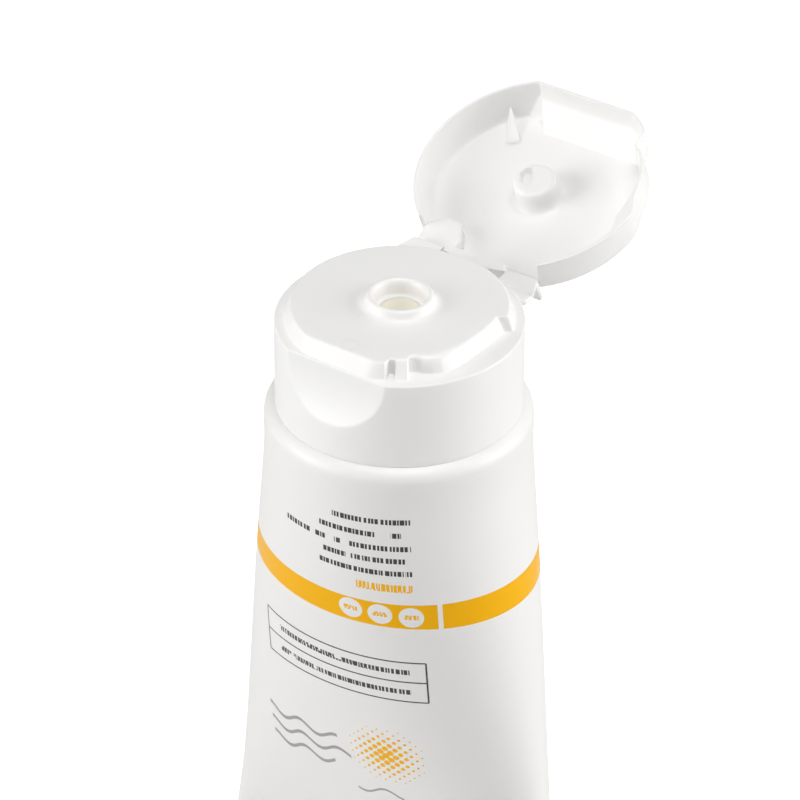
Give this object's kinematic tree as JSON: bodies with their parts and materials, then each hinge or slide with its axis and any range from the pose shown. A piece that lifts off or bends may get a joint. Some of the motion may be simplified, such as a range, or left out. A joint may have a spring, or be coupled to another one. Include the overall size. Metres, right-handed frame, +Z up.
{
  "type": "flip-top squeeze tube",
  "caption": "Soft squeeze tube for sunscreen, round at its moulded head and welded flat at its end, with a push-fit cap whose lid hangs open on a butterfly hinge",
  "frame": {"origin": "middle of the crimp's bottom edge", "axes": "+Z runs up the tube's axis to the cap, -Y is the front with the thumb recess, +Y is the side the lid opens to, +X is right"},
  "size_m": [0.0628, 0.0712, 0.1288],
  "materials": {
    "sleeve": "satin extruded polyethylene",
    "head": "moulded polyethylene",
    "cream": "soft cream",
    "cap": "satin moulded polypropylene"
  },
  "bodies": {
    "tube": {"tube_sleeve": "sleeve", "tube_shoulder": "head", "cream_fill": "cream", "cap_base": "cap"},
    "hinge_straps": {"hinge_strap_left": "cap", "hinge_strap_right": "cap"},
    "lid": {"flip_lid": "cap"}
  },
  "joints": [
    {"name": "strap_fold", "type": "hinge", "parent": "tube", "child": "hinge_straps", "pos_m": [0, 0.0173, 0.1144], "axis": [1, 0, 0], "range_deg": [-3, 79]},
    {"name": "lid_fold", "type": "hinge", "parent": "hinge_straps", "child": "lid", "pos_m": [0, 0.01985, 0.1149], "axis": [1, 0, 0], "range_deg": [-3, 79]}
  ],
  "couplings": [
    {"joint": "strap_fold", "follows": "lid_fold", "ratio": 1}
  ]
}
